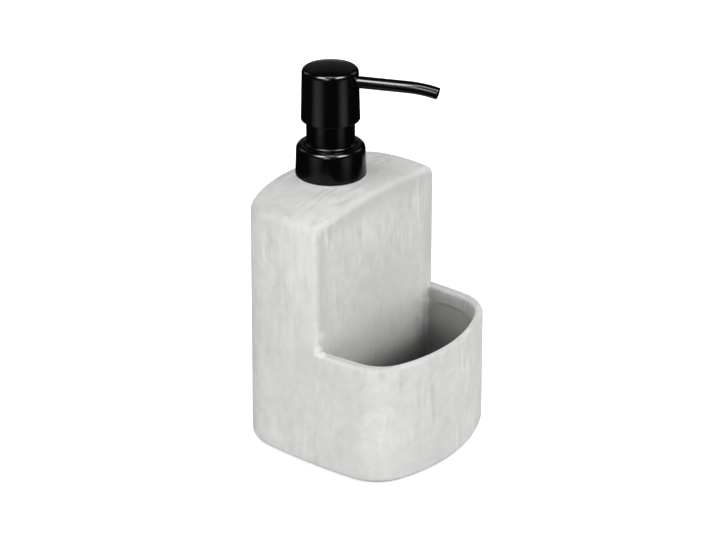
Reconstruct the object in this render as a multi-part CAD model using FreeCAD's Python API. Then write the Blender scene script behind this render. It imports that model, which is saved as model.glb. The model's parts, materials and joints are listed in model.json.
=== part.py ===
import FreeCAD, Part
import math
import os
from FreeCAD import Vector

os.makedirs("parts", exist_ok=True)

# Sizes in millimetres. The caddy stands on z = 0, the sponge pocket faces -Y.

# Stoneware body: plan outline at the shoulder, spreading a little to the foot
body_width = 96.4
body_depth = 102.6
side_bow_radius = 290.0
front_bow_radius = 79.0
corner_radius = 23.0
foot_spread = 1.9
shoulder_height = 131.4
crown_depth_radius = 120.0
crown_lead = 8.0
crown_width_radius = 300.0
shoulder_rounding = 5.0
wall_top_rounding = 3.0
wall_corner_rounding = 3.0
foot_rounding = 3.0
body_wall = 5.2
body_floor = 6.0
pocket_depth_share = 0.4454
divider_wall = 6.0
reservoir_roof = 8.6
reservoir_corner_rounding = 5.0

# Sponge pocket
pocket_height = 62.6
pocket_side_wall = 5.6
pocket_front_wall = 3.8
lip_outer_rounding = 1.7
lip_inner_rounding = 1.5
pocket_corner_rounding = 1.2
pocket_floor_rounding = 5.0

# Foot pads let into the underside
pad_radius = 5.0
pad_thickness = 1.6
pad_proud = 0.8
pad_edge_rounding = 0.3
pad_inset = 17.0
pad_fit = 0.1

# Bottle mouth and the threaded bush bonded into it
pump_axis_share = 0.49
mouth_radius = 13.2
seat_rise = 0.9
seat_inset = 0.4
seat_root_rounding = 0.5
bond_gap = 0.1
neck_bush_depth = 12.0
neck_flange_radius = 15.2
neck_flange_thickness = 1.4
neck_radius = 13.3
neck_rise = 8.9
neck_bore_radius = 10.6
neck_edge_rounding = 0.5

# Collar: outer shell with its sleeve, and the threaded nut inside it
running_gap = 0.3
slide_gap = 0.4
collar_radius = 17.2
collar_taper = 0.6
collar_rounding = 2.8
shell_wall = 1.2
sleeve_radius = 11.7
sleeve_step_radius = 13.0
sleeve_step_height = 1.2
sleeve_step_rounding = 0.8
sleeve_reach_into_head = 4.5
nut_top_wall = 1.4
nut_wall = 1.1
nut_thread_gap = 0.4
nut_lift = 0.8

# Pump engine: housing, guide cap, gasket, valve and dip tube
gasket_thickness = 1.0
gasket_width = 2.2
housing_flange_radius = 12.9
housing_flange_thickness = 1.4
barrel_radius = 8.6
barrel_wall = 1.2
barrel_length = 43.0
barrel_neck_rise = 7.0
barrel_floor_wall = 1.6
guide_cap_height = 6.6
guide_cap_rounding = 0.6
ball_radius = 2.5
ball_lift = 1.2
ball_side_gap = 0.5
seat_gap = 0.15
valve_hole_radius = 1.5
cage_thickness = 1.6
cage_boss_radius = 3.6
cage_boss_height = 2.0
cage_hole_radius = 0.8
cage_hole_circle = 2.0
cage_hole_count = 3
dip_tube_radius = 3.6
dip_tube_wall = 0.9
dip_tube_floor_gap = 3.5
tube_socket_wall = 1.2
tube_socket_length = 9.0
socket_fit = 0.05

# Plunger: stem, piston and the seat that carries the spring
press_stroke = 9.6
press_margin = 0.9
stem_radius = 4.0
stem_bore_radius = 2.4
shaft_fit = 0.06
piston_drop = 9.0
piston_length = 8.0
piston_lip = 1.6
piston_waist = 0.9
piston_seat_radius = 5.8
piston_seat_thickness = 3.4
piston_plug_length = 5.0
piston_plug_wall = 0.9
spring_wire = 0.9
spring_radius = 4.9
spring_end_pitch = 1.45
spring_end_turns = 1
spring_active_turns = 5
spring_end_gap = 0.1
spring_gap_samples = 600

# Head: pressed shell, moulded core and the bent spout
head_radius = 14.2
head_taper = 0.75
head_height = 27.4
head_wall = 1.0
head_dome_radius = 60.0
head_edge_rounding = 2.4
head_chamfer_height = 0.7
head_chamfer_rounding = 0.45
head_lip_flat = 0.5
core_boss_radius = 5.6
core_boss_length = 10.4
core_fit = 0.1
core_channel_radius = 1.6
spout_radius = 2.9
spout_bore_radius = 2.0
spout_drop_below_top = 7.2
spout_root = 6.0
spout_straight = 37.4
spout_bend_radius = 62.0
spout_bend_degrees = 14.0
spout_tip_rounding = 0.5
spout_heading_degrees = -70.0

# One overrun serves every cut, and one share tells edges and faces apart
overrun = 2.0
fine_share = 0.0001

# Places and heights that follow from the stack of pieces
half_width = body_width / 2
half_depth = body_depth / 2
divider_y = body_depth * pocket_depth_share - half_depth
pump_axis_y = divider_y + pump_axis_share * (half_depth - divider_y)
crown_y = pump_axis_y - crown_lead
foot_z = pad_proud
floor_z = foot_z + body_floor
reservoir_top = shoulder_height - reservoir_roof
seat_z = shoulder_height + seat_rise
neck_flange_top = seat_z + neck_flange_thickness
neck_top = neck_flange_top + neck_rise
gasket_top = neck_top + gasket_thickness
housing_flange_top = gasket_top + housing_flange_thickness
nut_under = housing_flange_top + running_gap
nut_top = nut_under + nut_top_wall
collar_bottom = seat_z + running_gap
collar_top = nut_top + shell_wall
collar_inner_rounding = collar_rounding - shell_wall
sleeve_step_top = collar_top + sleeve_step_height
head_bottom = sleeve_step_top + press_stroke + press_margin
head_top = head_bottom + head_height
sleeve_top = head_bottom + sleeve_reach_into_head
core_bottom = sleeve_top + press_stroke + press_margin
spout_z = head_top - spout_drop_below_top
barrel_floor = gasket_top - barrel_length
barrel_top = housing_flange_top + barrel_neck_rise
barrel_bore = barrel_radius - barrel_wall
guide_cap_bottom = nut_top + running_gap
guide_cap_top = guide_cap_bottom + guide_cap_height
stem_top = core_bottom + press_margin
piston_top = gasket_top - piston_drop
piston_bottom = piston_top - piston_length
piston_seat_bottom = piston_bottom - piston_seat_thickness
cage_top = barrel_floor + cage_thickness
ball_chamber_radius = ball_radius + ball_side_gap
ball_z = barrel_floor - running_gap - seat_gap - ball_lift - ball_radius
valve_apex = ball_z - (ball_radius + seat_gap) * math.sqrt(2)
socket_ceiling = valve_apex
socket_bottom = socket_ceiling - tube_socket_length
tube_socket_bore = dip_tube_radius + socket_fit
head_lip_radius = sleeve_radius + slide_gap


def spread_at(z):
    """Plan scale of the body at a height: one at the shoulder, larger at the foot."""
    foot_scale = 1 + foot_spread / half_width
    return foot_scale + (1 - foot_scale) * (z - foot_z) / (shoulder_height - foot_z)


def plan_outline(z, side_wall, front_wall):
    """Closed plan outline of eight tangent arcs, inset by the walls at the sides and at front and back."""
    scale = spread_at(z)
    reach_x = half_width * scale - side_wall
    reach_y = half_depth * scale - front_wall
    side = side_bow_radius * scale - side_wall
    front = front_bow_radius * scale - front_wall
    corner = corner_radius * scale - side_wall
    side_centre = reach_x - side
    front_centre = reach_y - front
    span = math.hypot(side_centre, front_centre)
    side_link = side - corner
    front_link = front - corner
    along = (side_link ** 2 - front_link ** 2 + span ** 2) / (2 * span)
    across = math.sqrt(side_link ** 2 - along ** 2)
    toward_x = -side_centre / span
    toward_y = front_centre / span
    corner_x = side_centre + along * toward_x - across * toward_y
    corner_y = along * toward_y + across * toward_x
    side_end = (
        corner_x + corner * (corner_x - side_centre) / side_link,
        corner_y + corner * corner_y / side_link,
    )
    front_end = (
        corner_x + corner * corner_x / front_link,
        corner_y + corner * (corner_y - front_centre) / front_link,
    )
    across_x = side_end[0] + front_end[0] - 2 * corner_x
    across_y = side_end[1] + front_end[1] - 2 * corner_y
    bisector = Vector(across_x, across_y, 0).normalize()
    corner_mid = (corner_x + corner * bisector.x, corner_y + corner * bisector.y)

    def arc(start, middle, end):
        points = [Vector(x, y, z) for x, y in (start, middle, end)]
        return Part.Arc(*points).toShape()

    def turned_to(point, sign_x, sign_y):
        return (sign_x * point[0], sign_y * point[1])

    edges = []
    quarters = ((1, 1), (-1, 1), (-1, -1), (1, -1))
    for sign_x, sign_y in quarters:
        start = turned_to(side_end, sign_x, sign_y)
        middle = turned_to(corner_mid, sign_x, sign_y)
        end = turned_to(front_end, sign_x, sign_y)
        edges.append(arc(start, middle, end))
    for sign in (1, -1):
        side_ends = (turned_to(side_end, sign, -1), turned_to(side_end, sign, 1))
        edges.append(arc(side_ends[0], (sign * reach_x, 0), side_ends[1]))
        front_ends = (turned_to(front_end, -1, sign), turned_to(front_end, 1, sign))
        edges.append(arc(front_ends[0], (0, sign * reach_y), front_ends[1]))
    return Part.Wire(Part.__sortEdges__(edges))


def tapered(low, high, side_wall, front_wall):
    """Solid between two heights that follows the body's plan outline, inset by its walls."""
    outlines = [plan_outline(z, side_wall, front_wall) for z in (low, high)]
    return Part.makeLoft(outlines, True, True)


def half_space(y_low, y_high, z_low, z_high):
    """Block across the whole width, between two depths and two heights."""
    width = body_width + 2 * foot_spread + 2 * overrun
    corner = Vector(-width / 2, y_low, z_low)
    return Part.makeBox(width, y_high - y_low, z_high - z_low, corner)


def above_crown():
    """Everything above the softly domed top: an arc over the depth, swung across the width."""
    reach = half_depth + foot_spread + overrun
    swing_centre = shoulder_height - crown_width_radius
    drop = crown_depth_radius - math.sqrt(crown_depth_radius ** 2 - reach ** 2)
    high = shoulder_height + body_width
    points = (
        Vector(0, crown_y - reach, shoulder_height - drop),
        Vector(0, crown_y, shoulder_height),
        Vector(0, crown_y + reach, shoulder_height - drop),
    )
    high_front = Vector(0, points[0].y, high)
    high_back = Vector(0, points[2].y, high)
    edges = [
        Part.Arc(*points).toShape(),
        Part.makeLine(points[2], high_back),
        Part.makeLine(high_back, high_front),
        Part.makeLine(high_front, points[0]),
    ]
    section = Part.Face(Part.Wire(edges))
    swing = math.degrees(math.asin(body_width / (crown_width_radius - drop)))
    axis_point = Vector(0, crown_y, swing_centre)
    section.rotate(axis_point, Vector(0, 1, 0), -swing)
    return section.revolve(axis_point, Vector(0, 1, 0), 2 * swing)


def turned(corners):
    """Solid of revolution about the pump axis from (radius, height, rounding) corners."""
    count = len(corners)
    points = [Vector(radius, pump_axis_y, z) for radius, z, _ in corners]
    starts = []
    arcs = []
    ends = []
    for i in range(count):
        here = points[i]
        rounding = corners[i][2]
        if rounding == 0:
            starts.append(here)
            ends.append(here)
            arcs.append(None)
            continue
        back = (points[i - 1] - here).normalize()
        ahead = (points[(i + 1) % count] - here).normalize()
        half_angle = back.getAngle(ahead) / 2
        setback = rounding / math.tan(half_angle)
        bisector = (back + ahead).normalize()
        centre = here + bisector * (rounding / math.sin(half_angle))
        first = here + back * setback
        last = here + ahead * setback
        starts.append(first)
        ends.append(last)
        arcs.append(Part.Arc(first, centre - bisector * rounding, last).toShape())
    edges = []
    for i in range(count):
        if arcs[i] is not None:
            edges.append(arcs[i])
        following = starts[(i + 1) % count]
        if ends[i].distanceToPoint(following) > Part.Precision.confusion():
            edges.append(Part.makeLine(ends[i], following))
    section = Part.Face(Part.Wire(edges))
    return section.revolve(Vector(0, pump_axis_y, 0), Vector(0, 0, 1), 360)


def on_axis(radius, low, high):
    """Cylinder on the pump axis between two heights."""
    return Part.makeCylinder(radius, high - low, Vector(0, pump_axis_y, low))


def edges_where(shape, test):
    """Edges whose two ends and middle all pass a test of a point."""
    chosen = []
    for edge in shape.Edges:
        first, last = edge.ParameterRange
        spots = [edge.valueAt(first + (last - first) * step / 4) for step in range(5)]
        if all(test(spot) for spot in spots):
            chosen.append(edge)
    return chosen


def sponge_pocket():
    """Hollow for the sponge, open at the top."""
    hollow = tapered(floor_z, pocket_height + overrun, pocket_side_wall, pocket_front_wall)
    front = half_space(-body_depth, divider_y, floor_z, pocket_height + overrun)
    hollow = hollow.common(front)
    upright = edges_where(hollow, lambda p: p.y > divider_y - Part.Precision.confusion())
    upright = [edge for edge in upright if edge.BoundBox.ZLength > pocket_height / 2]
    hollow = hollow.makeFillet(pocket_corner_rounding, upright)
    low = edges_where(hollow, lambda p: p.z < floor_z + Part.Precision.confusion())
    return hollow.makeFillet(pocket_floor_rounding, low)


def soap_reservoir():
    """Hollow for the soap behind the dividing wall."""
    hollow = tapered(floor_z, reservoir_top, body_wall, body_wall)
    back = half_space(divider_y + divider_wall, body_depth, floor_z, reservoir_top)
    hollow = hollow.common(back)
    return hollow.makeFillet(reservoir_corner_rounding, hollow.Edges)


def pad_places():
    """Centres of the four foot pads, inset from the corners of the foot."""
    across = half_width - pad_inset
    along = half_depth - pad_inset
    return [(sx * across, sy * along) for sx in (-1, 1) for sy in (-1, 1)]


def rounded(shape, groups):
    """Round several groups of edges, each with its own radius, in one pass."""
    document = FreeCAD.newDocument()
    base = document.addObject("Part::Feature", "base")
    base.Shape = shape
    fillet = document.addObject("Part::Fillet", "fillet")
    fillet.Base = base
    listed = []
    for edges, radius in groups:
        for edge in edges:
            number = [i for i, other in enumerate(shape.Edges, 1) if other.isSame(edge)][0]
            listed.append((number, radius, radius))
    fillet.Edges = listed
    document.recompute()
    result = fillet.Shape.copy()
    FreeCAD.closeDocument(document.Name)
    return result


def bottle(full):
    """Rear half of the body: flat dividing wall, rounded uprights, soft shoulder."""
    shape = full.cut(above_crown())
    shape = shape.cut(half_space(-body_depth, divider_y, -overrun, shoulder_height + overrun))
    near = fine_share * body_wall
    on_wall = edges_where(shape, lambda p: abs(p.y - divider_y) < near)
    upright = [edge for edge in on_wall if edge.BoundBox.ZLength > pocket_height]
    wall_top = [edge for edge in on_wall if edge.BoundBox.ZMin > pocket_height]
    shoulder = edges_where(shape, lambda p: p.z > pocket_height)
    shoulder = [edge for edge in shoulder if not any(edge.isSame(other) for other in wall_top)]
    groups = [(upright, wall_corner_rounding), (wall_top, wall_top_rounding), (shoulder, shoulder_rounding)]
    return rounded(shape, groups)


def pocket_block(full):
    """Front half of the body up to the lip, hollowed for the sponge, its back buried in the bottle."""
    buried = divider_y + divider_wall
    shape = full.common(half_space(-body_depth, buried, -overrun, pocket_height))
    shape = shape.cut(sponge_pocket())
    near = fine_share * body_wall
    lip = edges_where(shape, lambda p: abs(p.z - pocket_height) < near and p.y < buried - near)
    inside = []
    outside = []
    hollow = plan_outline(pocket_height, pocket_side_wall - near, pocket_front_wall - near)
    for edge in lip:
        middle = edge.valueAt(sum(edge.ParameterRange) / 2)
        within = Part.Face(hollow).isInside(middle, near, True)
        (inside if within else outside).append(edge)
    return rounded(shape, [(inside, lip_inner_rounding), (outside, lip_outer_rounding)])


def is_seat_root(edge):
    """Whether an edge is where the collar seat rises out of the shoulder."""
    radius = collar_radius - seat_inset
    axis = Vector(0, pump_axis_y, 0)
    first, last = edge.ParameterRange
    spots = [edge.valueAt(first + (last - first) * step / 4) for step in range(5)]
    on_seat = all(abs(math.hypot(p.x - axis.x, p.y - axis.y) - radius) < fine_share * radius for p in spots)
    return on_seat and edge.BoundBox.ZMax < seat_z - fine_share * radius


def caddy_body():
    """Bottle and sponge pocket cast as one piece of stoneware."""
    full = tapered(foot_z, shoulder_height + overrun, 0, 0)
    shape = bottle(full).fuse(pocket_block(full))
    near = fine_share * body_wall
    foot = edges_where(shape, lambda p: p.z < foot_z + near)
    shape = shape.makeFillet(foot_rounding, foot)
    seat = on_axis(collar_radius - seat_inset, seat_z - shoulder_rounding, seat_z)
    shape = shape.fuse(seat)
    seat_root = [edge for edge in shape.Edges if is_seat_root(edge)]
    shape = shape.makeFillet(seat_root_rounding, seat_root)
    shape = shape.cut(soap_reservoir())
    shape = shape.cut(on_axis(mouth_radius, reservoir_top - overrun, seat_z + overrun))
    for x, y in pad_places():
        recess = Part.makeCylinder(pad_radius + pad_fit, pad_thickness - pad_proud, Vector(x, y, foot_z))
        shape = shape.cut(recess)
    return shape


def foot_pads():
    """Four round pads let into the underside."""
    pads = []
    for x, y in pad_places():
        pad = Part.makeCylinder(pad_radius, pad_thickness, Vector(x, y, 0))
        low = edges_where(pad, lambda p: p.z < fine_share * pad_thickness)
        pads.append(pad.makeFillet(pad_edge_rounding, low))
    return Part.makeCompound(pads)


def neck_insert():
    """Threaded bush bonded into the mouth: sunk barrel, flange and neck."""
    barrel = mouth_radius - bond_gap
    low = seat_z - neck_bush_depth
    return turned([
        (neck_bore_radius, low, 0),
        (barrel, low, neck_edge_rounding),
        (barrel, seat_z, 0),
        (neck_flange_radius, seat_z, 0),
        (neck_flange_radius, neck_flange_top, 0),
        (neck_radius, neck_flange_top, 0),
        (neck_radius, neck_top, neck_edge_rounding),
        (neck_bore_radius, neck_top, 0),
    ])


def neck_gasket():
    """Flat sealing ring between the neck and the housing flange."""
    inner = housing_flange_radius - gasket_width
    return turned([
        (inner, neck_top, 0),
        (housing_flange_radius, neck_top, 0),
        (housing_flange_radius, gasket_top, 0),
        (inner, gasket_top, 0),
    ])


def pump_housing():
    """Cylinder of the pump: flange, barrel, ball seat and dip tube socket."""
    socket = tube_socket_bore + tube_socket_wall
    shelf = barrel_floor - barrel_floor_wall
    return turned([
        (tube_socket_bore, socket_bottom, 0),
        (socket, socket_bottom, 0),
        (socket, shelf - (barrel_radius - socket), 0),
        (barrel_radius, shelf, 0),
        (barrel_radius, gasket_top, 0),
        (housing_flange_radius, gasket_top, 0),
        (housing_flange_radius, housing_flange_top, 0),
        (barrel_radius, housing_flange_top, 0),
        (barrel_radius, barrel_top, 0),
        (barrel_bore, barrel_top, 0),
        (barrel_bore, barrel_floor, 0),
        (ball_chamber_radius, barrel_floor, 0),
        (ball_chamber_radius, valve_apex + ball_chamber_radius, 0),
        (valve_hole_radius, valve_apex + valve_hole_radius, 0),
        (valve_hole_radius, socket_ceiling, 0),
        (tube_socket_bore, socket_ceiling, 0),
    ])


def guide_cap():
    """Cap over the housing neck that guides the stem and keeps the nut on."""
    outer = sleeve_radius - shell_wall - slide_gap
    inner = barrel_radius + socket_fit
    stem_hole = stem_radius + shaft_fit
    return turned([
        (inner, guide_cap_bottom, 0),
        (outer, guide_cap_bottom, 0),
        (outer, guide_cap_top, guide_cap_rounding),
        (stem_hole, guide_cap_top, 0),
        (stem_hole, barrel_top, 0),
        (inner, barrel_top, 0),
    ])


def closure_nut():
    """Threaded nut hidden in the collar."""
    inner = neck_radius + nut_thread_gap
    outer = inner + nut_wall
    hole = barrel_radius + slide_gap
    low = neck_flange_top + nut_lift
    return turned([
        (inner, low, 0),
        (outer, low, 0),
        (outer, nut_top, collar_inner_rounding),
        (hole, nut_top, 0),
        (hole, nut_under, 0),
        (inner, nut_under, 0),
    ])


def collar_shell():
    """Outer collar with its shoulder and the sleeve the head slides over."""
    top_radius = collar_radius - collar_taper
    bore = sleeve_radius - shell_wall
    return turned([
        (collar_radius - shell_wall, collar_bottom, 0),
        (collar_radius, collar_bottom, 0),
        (top_radius, collar_top, collar_rounding),
        (sleeve_step_radius, collar_top, 0),
        (sleeve_step_radius, sleeve_step_top, sleeve_step_rounding),
        (sleeve_radius, sleeve_step_top, 0),
        (sleeve_radius, sleeve_top, 0),
        (bore, sleeve_top, 0),
        (bore, nut_top, 0),
        (top_radius - shell_wall, nut_top, collar_inner_rounding),
    ])


def stem():
    """Hollow rod from the piston up into the head."""
    return turned([
        (stem_bore_radius, piston_bottom, 0),
        (stem_radius, piston_bottom, 0),
        (stem_radius, stem_top, 0),
        (stem_bore_radius, stem_top, 0),
    ])


def piston():
    """Sliding seal on the stem: two lips with a waist between them."""
    inner = stem_radius + socket_fit
    outer = barrel_bore - shaft_fit
    waist = outer - piston_waist
    return turned([
        (inner, piston_bottom, 0),
        (outer, piston_bottom, 0),
        (outer, piston_bottom + piston_lip, 0),
        (waist, piston_bottom + piston_lip + piston_waist, 0),
        (waist, piston_top - piston_lip - piston_waist, 0),
        (outer, piston_top - piston_lip, 0),
        (outer, piston_top, 0),
        (inner, piston_top, 0),
    ])


def piston_seat():
    """Foot of the stem: a flange under the piston and a hollow plug in the stem bore."""
    plug = stem_bore_radius - socket_fit
    bore = plug - piston_plug_wall
    return turned([
        (bore, piston_seat_bottom, 0),
        (piston_seat_radius, piston_seat_bottom, 0),
        (piston_seat_radius, piston_bottom, 0),
        (plug, piston_bottom, 0),
        (plug, piston_bottom + piston_plug_length, 0),
        (bore, piston_bottom + piston_plug_length, 0),
    ])


def ball_cage():
    """Perforated disc over the ball, with a boss that centres the spring."""
    disc = on_axis(barrel_bore - socket_fit, barrel_floor, cage_top)
    disc = disc.fuse(on_axis(cage_boss_radius, cage_top, cage_top + cage_boss_height))
    for step in range(cage_hole_count):
        angle = math.tau * step / cage_hole_count
        centre = Vector(
            cage_hole_circle * math.cos(angle),
            pump_axis_y + cage_hole_circle * math.sin(angle),
            barrel_floor,
        )
        disc = disc.cut(Part.makeCylinder(cage_hole_radius, cage_thickness + cage_boss_height, centre))
    return disc


def check_ball():
    """Ball of the inlet valve."""
    return Part.makeSphere(ball_radius, Vector(0, pump_axis_y, ball_z))


def dip_tube():
    """Suction tube with a slanted foot."""
    low = floor_z + dip_tube_floor_gap
    tube = on_axis(dip_tube_radius, low, socket_ceiling)
    tube = tube.cut(on_axis(dip_tube_radius - dip_tube_wall, low, socket_ceiling))
    foot = [
        Vector(-dip_tube_radius - overrun, pump_axis_y - dip_tube_radius, low),
        Vector(-dip_tube_radius - overrun, pump_axis_y + dip_tube_radius, low),
        Vector(-dip_tube_radius - overrun, pump_axis_y + dip_tube_radius, low + 2 * dip_tube_radius),
    ]
    wedge = Part.Face(Part.makePolygon(foot + foot[:1]))
    return tube.cut(wedge.extrude(Vector(2 * (dip_tube_radius + overrun), 0, 0)))


def spring_points():
    """Wire centres and headings of the return spring at every quarter turn."""
    low = cage_top + spring_end_gap + spring_wire / 2
    high = piston_seat_bottom - running_gap - spring_wire / 2
    end_rise = spring_end_turns * spring_end_pitch
    active_pitch = (high - low - 2 * end_rise) / spring_active_turns
    pitches = [spring_end_pitch] * (4 * spring_end_turns)
    pitches += [active_pitch] * (4 * spring_active_turns)
    pitches += [spring_end_pitch] * (4 * spring_end_turns)
    heights = [low]
    for pitch in pitches:
        heights.append(heights[-1] + pitch / 4)
    around = [pitches[0]] + pitches + [pitches[-1]]
    points = []
    for step, z in enumerate(heights):
        angle = math.tau * step / 4
        across = Vector(math.cos(angle), math.sin(angle), 0)
        rise = (around[step] + around[step + 1]) / 2
        heading = Vector(-across.y, across.x, rise / (math.tau * spring_radius)).normalize()
        points.append((Vector(0, pump_axis_y, z) + across * spring_radius, heading))
    return points


def arc_leaving(start, heading, end):
    """Arc that leaves one point along a heading and ends at another point."""
    chord = end - start
    along = Vector(chord).normalize()
    outward = (heading - along * heading.dot(along)).normalize()
    bulge = math.tan(heading.getAngle(along) / 2) * chord.Length / 2
    return (start + end) / 2 + outward * bulge


def spring_wire_path():
    """Unbroken path of the spring: a pair of tangent arcs for each quarter turn."""
    points = spring_points()
    edges = []
    for (start, out), (end, into) in zip(points, points[1:]):
        step = end - start
        bend = 2 * (1 - out.dot(into))
        lean = step.dot(out + into)
        reach = (math.sqrt(lean ** 2 + bend * step.dot(step)) - lean) / bend
        join = (start + end + (out - into) * reach) / 2
        edges.append(Part.Arc(start, arc_leaving(start, out, join), join).toShape())
        edges.append(Part.Arc(join, arc_leaving(end, -into, join), end).toShape())
    return Part.Wire(edges)


def return_spring():
    """Compression spring with close end turns."""
    path = spring_wire_path()
    start, heading = spring_points()[0]
    ring = Part.Wire(Part.makeCircle(spring_wire / 2, start, heading))
    shell = Part.BRepOffsetAPI.MakePipeShell(path)
    shell.add(ring)
    shell.build()
    shell.makeSolid()
    return shell.shape()


def spring_gap():
    """Least gap of the spring to itself, measured between points one turn or more apart."""
    places = spring_wire_path().discretize(Number=spring_gap_samples)
    turns = 2 * spring_end_turns + spring_active_turns
    apart = int(spring_gap_samples / turns / 2)
    least = min(
        places[i].distanceToPoint(places[j])
        for i in range(len(places))
        for j in range(i + apart, len(places))
    )
    return least - spring_wire


def head_radius_at(z):
    """Outer radius of the head's slightly tapered side."""
    return head_radius - head_taper * (z - head_bottom) / head_height


def head_form(inset, foot):
    """Outline of the head inset by a wall: foot corners, tapered side, domed top, rounded edge."""
    top = head_top + overrun
    shape = turned(foot + [(head_radius_at(top) - inset, top, 0), (0, top, 0)])
    centre = Vector(0, pump_axis_y, head_top - head_dome_radius)
    shape = shape.common(Part.makeSphere(head_dome_radius - inset, centre))
    near = fine_share * head_radius
    rim = [edge for edge in shape.Edges if edge.BoundBox.ZLength < near and edge.BoundBox.ZMin > spout_z]
    return shape.makeFillet(head_edge_rounding - inset, rim)


def spout_heading():
    """Level direction in which the spout leaves the head."""
    angle = math.radians(spout_heading_degrees)
    return Vector(math.cos(angle), math.sin(angle), 0)


def spout_at(distance):
    """Point on the spout's straight line, at a distance from the pump axis."""
    return Vector(0, pump_axis_y, spout_z) + spout_heading() * distance


def along_spout(radius, start, end):
    """Cylinder along the straight part of the spout, between two distances from the pump axis."""
    return Part.makeCylinder(radius, end - start, spout_at(start), spout_heading())


def head_shell():
    """Domed cap of the head, its lower edge drawn in towards the sleeve."""
    lip_outer = head_lip_radius + head_lip_flat
    side_low = head_bottom + head_chamfer_height
    run = head_radius_at(side_low) - lip_outer
    slope = head_chamfer_height / run
    land = head_wall * math.hypot(run, head_chamfer_height) / run
    inner_low = head_bottom + land
    inner_high = inner_low + slope * (run - head_wall)
    outer = head_form(0, [
        (0, head_bottom, 0),
        (lip_outer, head_bottom, 0),
        (head_radius_at(side_low), side_low, head_chamfer_rounding),
    ])
    hollow = head_form(head_wall, [
        (0, head_bottom - overrun, 0),
        (head_lip_radius, head_bottom - overrun, 0),
        (head_lip_radius, inner_low, 0),
        (head_radius_at(inner_high) - head_wall, inner_high, 0),
    ])
    return outer.cut(hollow).cut(along_spout(spout_radius + core_fit, spout_root, head_radius + overrun))


def head_core():
    """Moulded filling of the head: stem socket, soap channel and spout socket."""
    inset = head_wall + core_fit
    shape = head_form(inset, [
        (0, core_bottom, 0),
        (head_radius_at(core_bottom) - inset, core_bottom, 0),
    ])
    shape = shape.fuse(on_axis(core_boss_radius, core_bottom - core_boss_length, core_bottom))
    shape = shape.cut(on_axis(stem_radius + shaft_fit, core_bottom - core_boss_length, stem_top + core_fit))
    shape = shape.cut(on_axis(core_channel_radius, stem_top, spout_z))
    shape = shape.cut(Part.makeSphere(core_channel_radius, Vector(0, pump_axis_y, spout_z)))
    shape = shape.cut(along_spout(core_channel_radius, 0, spout_root))
    return shape.cut(along_spout(spout_radius + socket_fit, spout_root, head_radius))


def spout_tube():
    """Bent outlet tube: straight out of the head, then curving down."""
    heading = spout_heading()
    bend_start = spout_at(spout_straight)
    side = heading.cross(Vector(0, 0, 1))
    bend_centre = bend_start - Vector(0, 0, spout_bend_radius)

    def run(radius):
        straight = along_spout(radius, spout_root, spout_straight)
        disc = Part.Face(Part.Wire(Part.makeCircle(radius, bend_start, heading)))
        bend = disc.revolve(bend_centre, side, -spout_bend_degrees)
        return straight.fuse(bend).removeSplitter()

    shape = run(spout_radius)
    tip = max(shape.Edges, key=lambda edge: edge.CenterOfMass.distanceToPoint(spout_at(0)))
    return shape.makeFillet(spout_tip_rounding, [tip]).cut(run(spout_bore_radius))


PIECES = (
    caddy_body,
    foot_pads,
    neck_insert,
    neck_gasket,
    pump_housing,
    guide_cap,
    closure_nut,
    collar_shell,
    stem,
    piston,
    piston_seat,
    return_spring,
    ball_cage,
    check_ball,
    dip_tube,
    head_shell,
    head_core,
    spout_tube,
)

if __name__ == "__main__":
    for piece in PIECES:
        shape = piece()
        shape.exportStep("parts/" + piece.__name__ + ".step")
        box = shape.BoundBox
        print(piece.__name__, shape.isValid(), len(shape.Solids), round(shape.Volume, 1), len(shape.Faces))
        print("  ", [round(v, 2) for v in (box.XMin, box.XMax, box.YMin, box.YMax, box.ZMin, box.ZMax)])
    print("least gap of the spring to itself", round(spring_gap(), 3))
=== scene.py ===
import json
import math
from typing import NamedTuple

import bmesh
import bpy
from mathutils import Matrix, Vector


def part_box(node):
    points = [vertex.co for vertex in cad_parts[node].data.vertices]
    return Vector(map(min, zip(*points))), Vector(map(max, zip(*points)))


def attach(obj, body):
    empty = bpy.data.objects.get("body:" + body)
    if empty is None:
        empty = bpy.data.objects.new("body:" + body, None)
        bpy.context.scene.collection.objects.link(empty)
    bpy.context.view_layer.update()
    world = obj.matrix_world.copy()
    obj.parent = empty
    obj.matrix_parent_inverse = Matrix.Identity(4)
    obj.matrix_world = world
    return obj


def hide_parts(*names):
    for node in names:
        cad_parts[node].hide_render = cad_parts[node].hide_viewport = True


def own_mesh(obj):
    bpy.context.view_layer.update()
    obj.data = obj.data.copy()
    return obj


bl_info = {
    "name": "Soap Pump Caddy",
    "version": (1, 0, 0),
    "blender": (4, 5, 0),
    "location": "View3D > Sidebar > Soap Caddy",
    "description": "Finishes, fine details and studio for a stoneware soap pump caddy",
    "category": "Object",
}

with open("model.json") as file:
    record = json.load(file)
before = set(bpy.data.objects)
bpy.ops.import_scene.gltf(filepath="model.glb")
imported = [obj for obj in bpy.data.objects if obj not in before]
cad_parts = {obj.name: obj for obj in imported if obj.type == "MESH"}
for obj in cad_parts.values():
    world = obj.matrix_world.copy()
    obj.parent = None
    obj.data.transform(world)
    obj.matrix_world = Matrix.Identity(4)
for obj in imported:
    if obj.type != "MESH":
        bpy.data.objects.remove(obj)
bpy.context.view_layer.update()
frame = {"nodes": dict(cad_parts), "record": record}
nodes = frame["nodes"]


# What the frame says

def box_of(node):
    """Lowest and highest corner of a CAD node as vectors."""
    low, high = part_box(node)
    return Vector(low), Vector(high)


def named(entries, name):
    """The entry of a list in the frame that has this name."""
    for entry in entries:
        if entry["name"] == name:
            return entry
    raise ValueError(f"the frame has nothing named {name}")


def pump_axis():
    """Plan position of the upright axis that the whole pump shares."""
    low, high = box_of("stem")
    return Vector(((low.x + high.x) / 2, (low.y + high.y) / 2, 0))


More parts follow.
